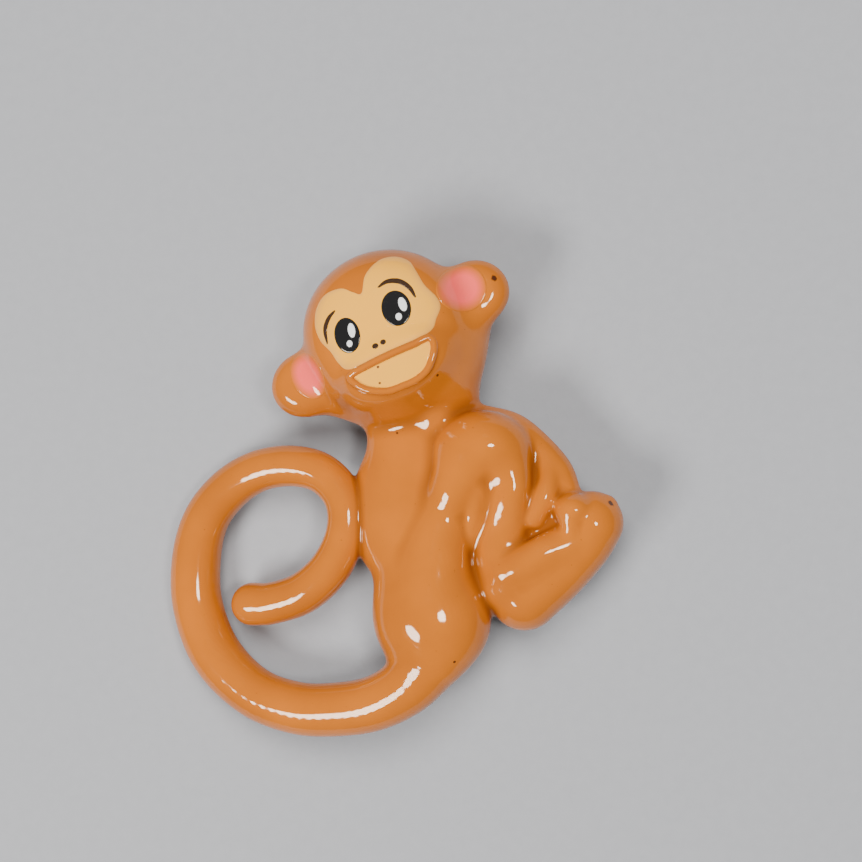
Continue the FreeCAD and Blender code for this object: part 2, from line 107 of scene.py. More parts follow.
XS = axis_values(COAT_LOW[0], COAT_HIGH[0])
YS = axis_values(COAT_LOW[1], COAT_HIGH[1])
ZS = axis_values(0.0, COAT_HIGH[2])
SHAPE = (len(XS), len(YS), len(ZS))
X = XS[:, None, None]
Y = YS[None, :, None]
Z = ZS[None, None, :]


def empty():
    return np.full(SHAPE, FAR, dtype=np.float32)


def soft_min(a, b, k):
    """Union of two distance fields with a fillet of about k."""
    near = np.maximum(k - np.abs(a - b), 0) / k
    return np.minimum(a, b) - near * near * (k * 0.25)


def soft_max(a, b, k):
    return -soft_min(-a, -b, k)


def window(low, high):
    """Slices of the grid that hold a box with room round it."""
    slices = []
    for values, a, b in zip((XS, YS, ZS), low, high):
        start = int(np.searchsorted(values, a - REACH))
        stop = int(np.searchsorted(values, b + REACH))
        slices.append(slice(start, max(stop, start + 1)))
    return tuple(slices)


def add(field, shape, low, high, k):
    """Blend a shape into a field, within reach of the shape's box."""
    part = window(low, high)
    distance = shape(X[part[0]], Y[:, part[1]], Z[:, :, part[2]])
    field[part] = soft_min(field[part], distance, k) if k > 0 else np.minimum(field[part], distance)


def oval(field, centre, half, turn=0.0, k=1.0, lean=0.0):
    """An ellipsoid, turned about Z by degrees. Its height can change by lean for each step along Y."""
    c = math.cos(math.radians(turn))
    s = math.sin(math.radians(turn))

    def shape(x, y, z):
        dx = x - centre[0]
        dy = y - centre[1]
        u = (c * dx + s * dy) / half[0]
        v = (c * dy - s * dx) / half[1]
        w = (z - centre[2] - lean * dy) / half[2]
        near = np.sqrt(u * u + v * v + w * w)
        slope = np.sqrt((u / half[0]) ** 2 + (v / half[1]) ** 2 + (w / half[2]) ** 2)
        return near * (near - 1) / np.maximum(slope, 1e-6)

    reach = max(half[:2])
    low = (centre[0] - reach, centre[1] - reach, centre[2] - half[2])
    high = (centre[0] + reach, centre[1] + reach, centre[2] + half[2])
    add(field, shape, low, high, k)


def curve_point(a, b, c, d, t):
    """A point between b and c, at share t, on the smooth curve through four points."""
    cubic = (3 * b - a - 3 * c + d) * t ** 3
    return 0.5 * (2 * b + (c - a) * t + (2 * a - 5 * b + 4 * c - d) * t * t + cubic)


def smooth_path(points, between):
    """Points on a smooth curve through the given ones. Every column is smoothed, the radius too."""
    points = np.array(points, float)
    ends = np.vstack([2 * points[0] - points[1], points, 2 * points[-1] - points[-2]])
    out = []
    for i in range(1, len(ends) - 2):
        a, b, c, d = ends[i - 1 : i + 3]
        for t in np.linspace(0, 1, between, endpoint=False):
            out.append(curve_point(a, b, c, d, t))
    out.append(points[-1])
    return np.array(out)


def limb(field, points, between=6):
    """A tapering tube along a smooth path of (x, y, z, radius)."""
    path = smooth_path(points, between)
    for a, b in zip(path[:-1], path[1:]):
        along = b[:3] - a[:3]
        length = float(along @ along)

        def shape(x, y, z):
            dx = x - a[0]
            dy = y - a[1]
            dz = z - a[2]
            share = np.clip((dx * along[0] + dy * along[1] + dz * along[2]) / length, 0, 1)
            across = np.sqrt(
                (dx - share * along[0]) ** 2 + (dy - share * along[1]) ** 2 + (dz - share * along[2]) ** 2
            )
            return across - (a[3] + (b[3] - a[3]) * share)

        radius = max(a[3], b[3])
        low = np.minimum(a[:3], b[:3]) - radius
        high = np.maximum(a[:3], b[:3]) + radius
        add(field, shape, low, high, 0)


def blurred(field, passes):
    """The field averaged with its neighbours, which rounds small edges."""
    for _ in range(passes):
        for axis in range(3):
            before = np.roll(field, 1, axis)
            after = np.roll(field, -1, axis)
            field = field * 0.5 + (before + after) * 0.25
    return field


# ---------------------------------------------------------------- the figure

TAIL_ROUTE = (
    (4.2, -14.6, 2.7),
    (1.9, -17.0, 2.6),
    (-1.2, -18.75, 2.5),
    (-4.7, -19.5, 2.45),
    (-8.7, -19.6, 2.4),
    (-13.0, -18.3, 2.35),
    (-16.65, -15.05, 2.4),
    (-18.55, -10.6, 2.35),
    (-18.7, -6.2, 2.3),
    (-17.7, -2.5, 2.15),
    (-15.4, 0.3, 2.05),
    (-12.5, 2.0, 1.95),
    (-9.2, 2.5, 1.9),
    (-6.2, 1.8, 1.85),
    (-4.2, -0.4, 1.8),
    (-4.0, -3.4, 1.8),
    (-5.4, -6.6, 1.9),
    (-8.0, -9.0, 1.95),
    (-11.1, -10.1, 1.95),
    (-13.05, -10.25, 2.0),
)


def raised_route():
    return [(x, y, TAIL_LIFT + TAIL_SLOPE * x, radius) for x, y, radius in TAIL_ROUTE]


def tail_field():
    field = empty()
    limb(field, raised_route(), 8)
    return field


def head_field():
    field = empty()
    oval(field, (0.0, 14.8, 6.6), (7.5, 7.0, 6.0), 20)
    oval(field, (1.6, 11.6, 6.4), (6.6, 4.9, 4.8), 22, 2.0)
    jaw = empty()
    limb(jaw, [(6.3, 14.6, 5.0, 2.8), (5.5, 9.8, 5.0, 2.6)], 1)
    field = soft_min(field, jaw, 2.0)
    nape = empty()
    limb(nape, [(-6.2, 9.1, 4.8, 1.7), (-1.4, 8.6, 4.8, 2.7)], 1)
    field = soft_min(field, nape, 1.2)
    field = soft_max(field, Z - 11.5, 2.0)
    muzzle = empty()
    oval(muzzle, (1.5, 11.4, 8.6), (5.7, 3.5, 4.4), 26)
    muzzle = soft_max(muzzle, Z - 11.9, 0.9)
    return soft_min(field, muzzle, 0.6)


def ear_field(centre, radius, turn):
    """A thick disc with a shallow dish in its front."""
    disc = empty()
    oval(disc, centre, (radius, radius * 0.92, 1.9), turn)
    dish = empty()
    oval(dish, (centre[0], centre[1], centre[2] + 2.9), (radius * 0.95, radius * 0.85, 1.25), turn)
    return soft_max(disc, -dish, 0.8)


def trunk_field():
    field = empty()
    oval(field, (2.9, 7.5, 4.5), (5.1, 7.0, 2.8), 0, 1.0, -0.05)
    oval(field, (3.0, -1.6, 4.5), (5.1, 10.2, 3.5), 2, 2.0, -0.10)
    oval(field, (4.5, 7.1, 5.5), (2.1, 2.0, 2.4), 0, 0.9)
    oval(field, (4.0, -10.9, 5.7), (5.3, 5.6, 4.3), 14, 2.2)
    return field


def leg_field():
    """Thigh and calf side by side, joined by the knee above them, with a fold of skin between them."""
    thigh = empty()
    limb(
        thigh,
        [
            (6.9, 3.4, 6.0, 2.7),
            (6.4, 1.0, 6.95, 2.4),
            (5.3, -1.5, 6.15, 2.6),
            (4.4, -5.2, 6.1, 3.25),
            (4.1, -8.6, 5.95, 3.8),
            (4.1, -11.2, 5.7, 4.1),
        ],
    )
    calf = empty()
    limb(
        calf,
        [
            (10.0, 3.0, 5.2, 2.7),
            (10.2, 0.5, 5.3, 2.8),
            (10.2, -1.6, 5.2, 2.8),
            (10.3, -4.5, 5.1, 2.9),
            (10.9, -7.6, 4.9, 3.2),
        ],
    )
    shin = empty()
    limb(
        shin,
        [
            (11.2, 3.2, 6.2, 1.4),
            (11.4, 1.4, 7.0, 1.6),
            (11.1, -0.6, 6.9, 1.6),
            (10.7, -3.2, 5.8, 1.7),
        ],
    )
    fold = empty()
    limb(
        fold,
        [
            (8.4, 2.2, 6.9, 0.8),
            (8.2, 0.2, 7.6, 0.9),
            (7.9, -1.8, 7.4, 0.8),
            (7.5, -4.2, 6.6, 0.6),
        ],
    )
    knee = empty()
    oval(knee, (8.7, 4.5, 6.4), (3.9, 3.0, 3.4))
    leg = soft_min(thigh, soft_min(calf, shin, 0.9), 0.5)
    leg = soft_min(leg, knee, 1.8)
    return soft_min(leg, fold, 0.5)


def arm_field():
    """The far arm: a rounded outer edge, a low side, and the ridge of the forearm."""
    arm = empty()
    limb(
        arm,
        [
            (8.2, 6.0, 4.7, 2.1),
            (11.0, 5.6, 4.8, 1.8),
            (13.3, 4.1, 5.0, 1.55),
            (15.1, 2.1, 5.3, 1.5),
            (15.9, 0.2, 5.5, 1.4),
        ],
    )
    side = empty()
    oval(side, (12.4, 1.0, 4.4), (3.0, 4.8, 2.4), 50)
    forearm = empty()
    limb(
        forearm,
        [
            (13.7, 3.9, 5.2, 0.8),
            (14.5, 1.7, 6.3, 0.95),
            (14.1, -0.1, 6.8, 1.05),
            (13.2, -1.9, 6.5, 1.05),
        ],
    )
    return soft_min(soft_min(arm, side, 0.8), forearm, 0.35)


def hand_field():
    """A fist on the toes: a rounded back, a palm, a thumb laid over the crease, and two fingers."""
    hand = empty()
    oval(hand, (16.7, -1.15, 6.9), (1.75, 1.45, 1.9), 0, 0)
    thumb = empty()
    limb(thumb, [(16.4, -1.9, 7.6, 1.0), (16.5, -3.2, 7.7, 0.7), (16.6, -4.0, 7.3, 0.55)])
    fingers = empty()
    limb(fingers, [(18.4, -0.6, 6.3, 0.9), (18.3, -2.4, 6.9, 1.0)], 1)
    last = empty()
    limb(last, [(19.6, -0.8, 5.9, 0.9), (19.5, -2.4, 6.4, 1.0)], 1)
    palm = empty()
    limb(palm, [(12.4, -3.2, 4.9, 1.6), (14.0, -2.6, 5.2, 1.5), (15.6, -2.1, 5.6, 1.4)])
    hand = soft_min(soft_min(hand, thumb, 0.4), palm, 0.5)
    return soft_min(hand, soft_min(fingers, last, 0.25), 0.3)


def foot_field():
    """A ridge from heel to toes, with a broad slope outside it."""
    ridge = empty()
    limb(
        ridge,
        [
            (10.9, -6.7, 6.6, 1.9),
            (12.7, -5.8, 7.2, 1.7),
            (14.3, -4.8, 7.3, 1.5),
            (15.8, -4.1, 7.0, 1.3),
        ],
    )
    base = empty()
    limb(
        base,
        [
            (12.2, -8.9, 4.7, 3.2),
            (14.8, -6.4, 4.8, 3.2),
            (17.1, -4.0, 5.1, 3.0),
            (18.2, -2.4, 5.5, 2.85),
        ],
    )
    return soft_min(ridge, base, 1.0)


ROOT_FADE = (0.45, 0.25, 0.35, 0.8)  # the rump's share of the tail is thinner than the tail itself


def body_field():
    """Everything but the tail."""
    field = trunk_field()
    field = soft_min(field, arm_field(), 0.7)
    field = soft_min(field, leg_field(), 0.4)
    field = soft_min(field, foot_field(), 0.3)
    field = soft_min(field, hand_field(), 0.25)
    oval(field, (-0.8, -1.7, 3.9), (3.0, 5.2, 2.0), 0, 2.0)
    root = empty()
    stump = [(x, y, z, radius - less) for (x, y, z, radius), less in zip(raised_route(), ROOT_FADE)]
    limb(root, stump, 5)
    field = soft_min(field, root, 1.8)
    head = head_field()
    head = soft_min(head, ear_field((7.85, 17.9, 6.3), 3.2, 15), 1.5)
    head = soft_min(head, ear_field((-7.4, 9.9, 6.3), 3.15, 35), 1.5)
    return soft_min(field, head, 0.9)


BODY_BLUR = 3
TAIL_BLUR = 2
body = blurred(body_field(), BODY_BLUR)
tail = blurred(tail_field(), TAIL_BLUR)
JOIN = 0.35  # fillet where the tail meets the body
figure = soft_min(body, tail, JOIN)
tail_under = TAIL_LIFT + TAIL_SLOPE * X - TAIL_FLAT


def cut_back(inset, above, rounding):
    """The figure drawn in by an inset and cut off flat at the back, the tail along its own slope."""
    front = soft_max(body + inset, BACK + above - Z, rounding)
    ring = soft_max(tail + inset, tail_under + above - Z, rounding)
    return soft_min(front, ring, JOIN)


def casting_field():
    """The metal, with its hollow back and the two posts that the bar is soldered to."""
    metal = cut_back(METAL_INSET, 0.0, 0.1)
    hollow = soft_max(body + WALL, Z - HOLLOW_TOP, 0.8)
    metal = soft_max(metal, -hollow, 0.3)
    for side in (1, -1):
        post = np.sqrt((X - BAR_X) ** 2 + (Y - side * POST_Y) ** 2) - POST_RADIUS
        post = np.maximum(post, BACK - Z)
        post = np.maximum(post, body + WALL / 2)
        metal = soft_min(metal, post, 0.3)
    return metal


def coat_field():
    """The skin of enamel over the front and sides."""
    return soft_max(cut_back(0.0, ENAMEL_EDGE, 0.2), -(figure + COAT_THICK), 0.05)


# ---------------------------------------------------------------- from fields to meshes


def sampled(field, points):
    """Field values at points in millimetres, mixed from the eight nearest grid values."""
    place = (points - np.array([XS[0], YS[0], ZS[0]])) / STEP
    low = np.clip(np.floor(place).astype(int), 0, np.array(SHAPE) - 2)
    share = np.clip(place - low, 0, 1)
    total = np.zeros(len(points))
    for corner in range(8):
        step = np.array([corner & 1, corner >> 1 & 1, corner >> 2 & 1])
        weight = np.prod(np.where(step, share, 1 - share), axis=1)
        index = low + step
        total += weight * field[index[:, 0], index[:, 1], index[:, 2]]
    return total


def slope(field, points, reach=STEP):
    """Direction in which the field grows, at points in millimetres."""
    out = np.zeros_like(points)
    for axis in range(3):
        offset = np.zeros(3)
        offset[axis] = reach
        out[:, axis] = sampled(field, points + offset) - sampled(field, points - offset)
    return out / np.maximum(np.linalg.norm(out, axis=1), 1e-9)[:, None]


def new_object(name, points, faces, normals=None):
    mesh = bpy.data.meshes.new(name)
    mesh.from_pydata((points * MM).tolist(), [], faces)
    mesh.update()
    mesh.shade_smooth()
    if normals is not None:
        mesh.normals_split_custom_set_from_vertices(normals.tolist())
    piece = bpy.data.objects.new(name, mesh)
    bpy.context.scene.collection.objects.link(piece)
    return piece


def point_value(piece, name, values):
    """A number on each point of a mesh, for its material."""
    layer = piece.data.attributes.new(name, "FLOAT", "POINT")
    layer.data.foreach_set("value", np.asarray(values, dtype=np.float32))


SETTLE_PASSES = 2  # the points are moved onto the surface this many times
SETTLE_SHARE = 0.8


def skin_of(field):
    """Points and four-sided faces of the surface where a field is zero."""
    grid = openvdb.FloatGrid(FAR)
    grid.copyFromArray(np.ascontiguousarray(field))
    points, quads = grid.convertToQuads(isovalue=0.0)
    points = points * STEP + np.array([XS[0], YS[0], ZS[0]])
    for _ in range(SETTLE_PASSES):
        value = sampled(field, points)
        points = points - slope(field, points) * np.clip(value, -STEP, STEP)[:, None] * SETTLE_SHARE
    return points, quads


BROAD_BLUR = 18
broad = blurred(figure, BROAD_BLUR)  # the figure without its grooves, to tell how deep each groove is


def sculpted(name, field):
    """A field's surface as a piece, with its points in millimetres."""
    points, quads = skin_of(field)
    piece = new_object(name, points, quads.tolist(), slope(field, points))
    return piece, points


# ---------------------------------------------------------------- painted patches on the head


DROP_FROM = 0.3  # above the highest point of the coat
DROP_STEPS = 40
DROP_SHARE = 0.7  # share of the distance to the figure covered in one step
DROP_RANGE = (3.0, 13.0)


def height_at(x, y):
    """Height of the sculpted front at plan positions, found by stepping down onto it."""
    z = np.full(len(x), COAT_HIGH[2] + DROP_FROM)
    for _ in range(DROP_STEPS):
        points = np.stack([x, y, z], 1)
        z = np.clip(z - sampled(figure, points) * DROP_SHARE, *DROP_RANGE)
    return z


def closed_curve(points, between=10):
    """A smooth closed outline through points."""
    points = np.array(points, float)
    count = len(points)
    out = []
    for i in range(count):
        a, b, c, d = [points[(i + k) % count] for k in (-1, 0, 1, 2)]
        for t in np.linspace(0, 1, between, endpoint=False):
            out.append(curve_point(a, b, c, d, t))
    return np.array(out)


def oval_outline(centre, half, turn, count=48):
    angle = np.linspace(0, 2 * math.pi, count, endpoint=False)
    c = math.cos(math.radians(turn))
    s = math.sin(math.radians(turn))
    u = half[0] * np.cos(angle)
    v = half[1] * np.sin(angle)
    return np.stack([centre[0] + c * u - s * v, centre[1] + s * u + c * v], 1)


PAINT_ROUND = 0.16  # width of the rounded edge of a painted patch
PAINT_UNDER = 0.06  # how far the underside of a patch lies below its edge


def patch_mesh(outline, rings, low, high, centre=None):
    """A thin closed patch inside an outline, its top rounded down at the edge, following the head."""
    centre = outline.mean(0) if centre is None else np.array(centre)
    size = np.linalg.norm(outline - centre, axis=1).mean()
    even = [i / rings for i in range(1, rings + 1)]
    round_edge = [1 - PAINT_ROUND / size * k for k in (0.3, 0.65, 1.0)]
    shares = sorted(set(even + round_edge))
    plan = [centre[None, :]]
    rise = [np.array([high])]
    share_of = [np.array([0.0])]
    for share in shares:
        plan.append(centre + (outline - centre) * share)
        edge = min((1 - share) * size / PAINT_ROUND, 1.0)
        lift = low + (high - low) * math.sqrt(max(edge * (2 - edge), 0))
        rise.append(np.full(len(outline), lift))
        share_of.append(np.full(len(outline), share))
    plan = np.vstack(plan)
    rise = np.concatenate(rise)
    share_of = np.concatenate(share_of)
    ground = height_at(plan[:, 0], plan[:, 1])
    top = np.column_stack([plan, ground + rise])
    under = np.column_stack([plan, ground + low - PAINT_UNDER])
    count = len(outline)
    total = len(top)
    faces = []
    for side, offset in ((1, 0), (-1, total)):
        for i in range(count):
            j = (i + 1) % count
            first = [offset, offset + 1 + i, offset + 1 + j]
            faces.append(first[::side])
            for ring in range(len(shares) - 1):
                a = offset + 1 + ring * count
                faces.append([a + i, a + count + i, a + count + j, a + j][::side])
    rim = 1 + (len(shares) - 1) * count
    for i in range(count):
        j = (i + 1) % count
        faces.append([rim + i, total + rim + i, total + rim + j, rim + j])
    return np.vstack([top, under]), faces, np.concatenate([share_of, share_of])


def patch(name, cad_node, outlines, rings, low, high, centre=None):
    """One painted piece made of one or more patches."""
    points = []
    faces = []
    shares = []
    count = 0
    for outline in outlines:
        own_points, own_faces, own_shares = patch_mesh(outline, rings, low, high, centre)
        points.append(own_points)
        faces += [[i + count for i in face] for face in own_faces]
        shares.append(own_shares)
        count += len(own_points)
    piece = new_object(name, np.vstack(points), faces)
    point_value(piece, "edge", np.concatenate(shares))
    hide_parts(cad_node)
    return piece


def welt_mesh(path, radius, lift, around=10):
    """A raised rounded line along a closed plan path on the front of the head."""
    count = len(path)
    z = height_at(path[:, 0], path[:, 1]) + lift
    centres = np.column_stack([path, z])
    ahead = np.roll(centres, -1, 0) - np.roll(centres, 1, 0)
    ahead /= np.linalg.norm(ahead, axis=1)[:, None]
    up = slope(figure, centres, 0.3)
    side = np.cross(ahead, up)
    side /= np.linalg.norm(side, axis=1)[:, None]
    up = np.cross(side, ahead)
    points = []
    for k in range(around):
        angle = 2 * math.pi * k / around
        points.append(centres + (side * math.cos(angle) + up * math.sin(angle)) * radius)
    points = np.stack(points, 1).reshape(-1, 3)
    faces = []
    for i in range(count):
        j = (i + 1) % count
        for k in range(around):
            m = (k + 1) % around
            faces.append([i * around + k, i * around + m, j * around + m, j * around + k])
    return points, faces


# Outlines on the head, in plan.
FACE_LINE = (
    (-1.40, 17.65),
    (-1.14, 19.24),
    (-0.10, 20.55),
    (1.20, 20.95),
    (2.50, 20.55),
    (3.25, 19.60),
    (4.05, 18.35),
    (5.08, 17.31),
    (5.43, 16.45),
    (5.13, 15.45),
    (4.65, 14.25),
    (2.60, 13.05),
    (0.30, 12.05),
    (-1.40, 11.25),
    (-2.70, 11.00),
    (-3.50, 11.55),
    (-4.20, 12.55),
    (-5.20, 13.60),
    (-5.70, 14.90),
    (-5.60, 16.40),
    (-4.80, 17.60),
    (-3.31, 18.10),
    (-2.20, 17.75),
)
MUZZLE_LINE = (
    (-2.25, 10.45),
    (-0.50, 11.45),
    (1.40, 12.35),
    (3.20, 13.10),
    (4.60, 13.70),
    (5.05, 12.80),
    (4.55, 11.10),
    (3.60, 10.15),
    (2.50, 9.62),
    (1.01, 9.12),
    (-0.68, 9.22),
    (-1.75, 9.72),
)
LEFT_EYE = ((-2.62, 13.97), (1.16, 1.56), 12.0)
RIGHT_EYE = ((1.68, 16.28), (1.28, 1.56), 14.0)
GLINTS = (
    ((-2.22, 14.40), (0.34, 0.66), 10.0),
    ((-2.40, 13.25), (0.28, 0.32), 0.0),
    ((2.24, 16.62), (0.36, 0.66), 20.0),
    ((1.92, 15.55), (0.30, 0.34), 0.0),
)
LEFT_BROW = ((-3.75, 16.15), (-4.35, 15.45), (-4.66, 14.45), (-4.45, 13.25))
RIGHT_BROW = ((0.05, 18.10), (0.85, 18.62), (1.90, 18.62), (2.80, 18.05), (3.32, 17.22))
NOSTRILS = (((-0.08, 13.01), (0.30, 0.25), 20.0), ((0.60, 13.35), (0.27, 0.24), 20.0))
RIGHT_PINK = ((7.05, 18.2), (2.1, 2.15), 0.0)
LEFT_PINK = ((-6.75, 10.6), (1.6, 2.2), 25.0)


def brow_stroke(path, half_width):
    """The line of a brow and its half width on each side, which narrows to a quarter at the ends."""
    line = smooth_path(path, 8)
    ahead = np.gradient(line, axis=0)
    ahead /= np.linalg.norm(ahead, axis=1)[:, None]
    side = np.stack([-ahead[:, 1], ahead[:, 0]], 1)
    share = np.linspace(0, 1, len(line))
    width = half_width * (0.25 + 0.75 * np.sin(math.pi * share) ** 0.7)
    return line, side * width[:, None]


def brow(name, cad_node, path, half_width, low, high):
    """An eyebrow: a strip of paint with a rounded top."""
    line, reach = brow_stroke(path, half_width)
    across = np.linspace(-1, 1, 7)
    count = len(line)
    plan = (line[:, None, :] + reach[:, None, :] * across[None, :, None]).reshape(-1, 2)
    ground = height_at(plan[:, 0], plan[:, 1])
    crown = np.tile(np.sqrt(1 - np.abs(across) ** 2.5), count)
    top = np.column_stack([plan, ground + low + (high - low) * crown])
    under = np.column_stack([plan, ground + low - PAINT_UNDER])
    columns = len(across)
    total = count * columns
    faces = []
    for i in range(count - 1):
        for k in range(columns - 1):
            a = i * columns + k
            face = [a, a + columns, a + columns + 1, a + 1]
            faces.append(face)
            faces.append([total + v for v in face[::-1]])
        for k in (0, columns - 1):
            a = i * columns + k
            face = [a, total + a, total + a + columns, a + columns]
            faces.append(face if k == 0 else face[::-1])
    for i in (0, count - 1):
        for k in range(columns - 1):
            a = i * columns + k
            face = [a, a + 1, total + a + 1, total + a]
            faces.append(face if i == 0 else face[::-1])
    piece = new_object(name, np.vstack([top, under]), faces)
    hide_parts(cad_node)
    return piece


# ---------------------------------------------------------------- materials


def new_material(name):
    material = bpy.data.materials.new(name)
    material.use_nodes = True
    tree = material.node_tree
    shader = tree.nodes["Principled BSDF"]
    return material, tree, shader


def node(tree, kind, **inputs):
    made = tree.nodes.new(kind)
    for name, value in inputs.items():
        made.inputs[name.replace("_", " ")].default_value = value
    return made


def place(tree):
    """Position on the piece in metres."""
    return tree.nodes.new("ShaderNodeTexCoord").outputs["Object"]


def noise(tree, scale, detail=3.0, roughness=0.5):
    """Noise whose scale is the number of blobs per metre."""
    made = node(tree, "ShaderNodeTexNoise", Scale=scale, Detail=detail, Roughness=roughness)
    tree.links.new(place(tree), made.inputs["Vector"])
    return made.outputs["Fac"]


def ramp(tree, factor, low, high):
    """Factor stretched so that low becomes 0 and high becomes 1."""
    made = tree.nodes.new("ShaderNodeMapRange")
    made.inputs["From Min"].default_value = low
    made.inputs["From Max"].default_value = high
    tree.links.new(factor, made.inputs["Value"])
    return made.outputs["Result"]


def attribute(tree, name):
    made = tree.nodes.new("ShaderNodeAttribute")
    made.attribute_name = name
    return made.outputs["Fac"]


def mixed(tree, factor, first, second):
    """A colour between two, which may be colours or sockets."""
    made = tree.nodes.new("ShaderNodeMix")
    made.data_type = "RGBA"
    tree.links.new(factor, made.inputs["Factor"])
    colours = [s for s in made.inputs if s.type == "RGBA"]
    for socket, value in zip(colours, (first, second)):
        if isinstance(value, tuple):
            socket.default_value = value + (1.0,)
        else:
            tree.links.new(value, socket)
    return [s for s in made.outputs if s.type == "RGBA"][0]


def times(tree, first, second):
    made = tree.nodes.new("ShaderNodeMath")
    made.operation = "MULTIPLY"
    for socket, value in zip(made.inputs, (first, second)):
        if isinstance(value, float):
            socket.default_value = value
        else:
            tree.links.new(value, socket)
    return made.outputs[0]


def bumped(tree, shader, height, strength, distance):
    made = node(tree, "ShaderNodeBump", Strength=strength, Distance=distance)
    tree.links.new(height, made.inputs["Height"])
    tree.links.new(made.outputs["Normal"], shader.inputs["Normal"])


def spot(tree, plan, radius):
    """1 within a radius of a plan position on the front, with a ragged edge."""
    height = height_at(np.array([plan[0]]), np.array([plan[1]]))[0]
    centre = (plan[0], plan[1], height)
    offset = tree.nodes.new("ShaderNodeVectorMath")
    offset.operation = "DISTANCE"
    tree.links.new(place(tree), offset.inputs[0])
    offset.inputs[1].default_value = [value * MM for value in centre]
    ragged = tree.nodes.new("ShaderNodeMath")
    ragged.operation = "MULTIPLY_ADD"
    tree.links.new(noise(tree, 2600.0, 2.0), ragged.inputs[0])
    ragged.inputs[1].default_value = radius * MM * 1.1
    tree.links.new(offset.outputs["Value"], ragged.inputs[2])
    return ramp(tree, ragged.outputs[0], radius * MM * 1.45, radius * MM * 1.15)


ENAMEL_IOR = 1.65
ENAMEL_TINT = (1.0, 0.88, 0.70, 1.0)  # warms what the enamel mirrors
CLOUDS = 160.0  # blobs per metre, as for every noise here
PIT_DOTS = 3600.0
WAVES = 420.0
WAVE_HEIGHT = 0.00008


def enamel(name, colour, deep, roughness=0.07):
    """Glossy fired enamel: clouded colour, faint orange-peel waves and a few pits."""
    material, tree, shader = new_material(name)
    cloud = ramp(tree, noise(tree, CLOUDS, 3.0), 0.3, 0.75)
    tone = mixed(tree, times(tree, cloud, 0.3), colour, deep)
    pits = ramp(tree, noise(tree, PIT_DOTS, 1.0), 0.765, 0.80)
    tone = mixed(tree, times(tree, pits, 0.5), tone, deep)
    tree.links.new(tone, shader.inputs["Base Color"])
    shader.inputs["Roughness"].default_value = roughness
    shader.inputs["IOR"].default_value = ENAMEL_IOR
    shader.inputs["Specular Tint"].default_value = ENAMEL_TINT
    bumped(tree, shader, noise(tree, WAVES, 2.0), 0.2, WAVE_HEIGHT)
    return material, tree, shader, tone


CARAMEL = (0.56, 0.148, 0.008)
CARAMEL_DEEP = (0.20, 0.045, 0.003)
CREAM = (1.0, 0.46, 0.035)
CREAM_DEEP = (0.9, 0.38, 0.03)
CREAM_RIM = (0.66, 0.30, 0.10)
PINK = (1.0, 0.10, 0.085)
PINK_DEEP = (0.88, 0.24, 0.16)
CHIP_BROWN = (0.07, 0.018, 0.006)
PIT_BROWN = (0.16, 0.05, 0.02)
# Small flaws in the enamel: plan position and radius.
CHIPS = (
    ((9.75, 19.1), 0.33),
    ((19.9, -0.6), 0.36),
    ((6.4, -14.5), 0.16),
    ((5.2, 10.5), 0.17),
    ((1.1, 5.5), 0.13),
)
PITS = (((0.18, 11.2), 0.16), ((0.36, 9.8), 0.15))


def brown_enamel():
    """The coat: darker in the grooves, which is painted shade together with deeper pooled enamel, with a
    few small chips.
    """
    material, tree, shader, tone = enamel("brown_enamel_look", CARAMEL, CARAMEL_DEEP)
    # painted shade: the deeper the groove, the darker the brown
    groove_shade = ramp(tree, attribute(tree, "groove"), 0.05, 0.95)
    tone = mixed(tree, times(tree, groove_shade, 0.8), tone, CARAMEL_DEEP)
    for centre, radius in CHIPS:
        tone = mixed(tree, spot(tree, centre, radius), tone, CHIP_BROWN)
    tree.links.new(tone, shader.inputs["Base Color"])
    return material


def plain_enamel(name, colour, deep, roughness=0.09):
    return enamel(name, colour, deep, roughness)[0]


def cream_enamel():
    """Cream, a little deeper towards its outline."""
    material, tree, shader, tone = enamel("cream_enamel_look", CREAM, CREAM_DEEP)
    rim = ramp(tree, attribute(tree, "edge"), 0.86, 1.0)
    tone = mixed(tree, times(tree, rim, 0.55), tone, CREAM_RIM)
    for centre, radius in PITS:
        tone = mixed(tree, spot(tree, centre, radius), tone, PIT_BROWN)
    tree.links.new(tone, shader.inputs["Base Color"])
    return material


def pink_enamel():
    """Pink that fades out into the brown round it."""
    material, tree, shader, tone = enamel("pink_enamel_look", PINK, PINK_DEEP)
    fade = ramp(tree, attribute(tree, "edge"), 0.55, 0.98)
    tone = mixed(tree, fade, tone, CARAMEL)
    tree.links.new(tone, shader.inputs["Base Color"])
    return material


def metal(name, colour, dull, roughness, scale, stretch=(1.0, 1.0, 1.0), bump=0.1):
    """Plated or drawn metal with stains, fine scratches and uneven polish."""
    material, tree, shader = new_material(name)
    shader.inputs["Metallic"].default_value = 1.0
    squeeze = tree.nodes.new("ShaderNodeMapping")
    squeeze.inputs["Scale"].default_value = stretch
    tree.links.new(place(tree), squeeze.inputs["Vector"])
    lines = node(tree, "ShaderNodeTexNoise", Scale=scale, Detail=4.0, Roughness=0.6)
    tree.links.new(squeeze.outputs["Vector"], lines.inputs["Vector"])
    stains = ramp(tree, noise(tree, 500.0, 4.0, 0.6), 0.45, 0.75)
    tree.links.new(mixed(tree, stains, colour, dull), shader.inputs["Base Color"])
    uneven = tree.nodes.new("ShaderNodeMapRange")
    uneven.inputs["To Min"].default_value = roughness * 0.7
    uneven.inputs["To Max"].default_value = min(roughness * 1.6, 1.0)
    tree.links.new(lines.outputs["Fac"], uneven.inputs["Value"])
    tree.links.new(uneven.outputs["Result"], shader.inputs["Roughness"])
    bumped(tree, shader, lines.outputs["Fac"], bump, 0.00004)
    return material


FLOOR_LOW = (0.33, 0.33, 0.34)
FLOOR_HIGH = (0.37, 0.37, 0.38)


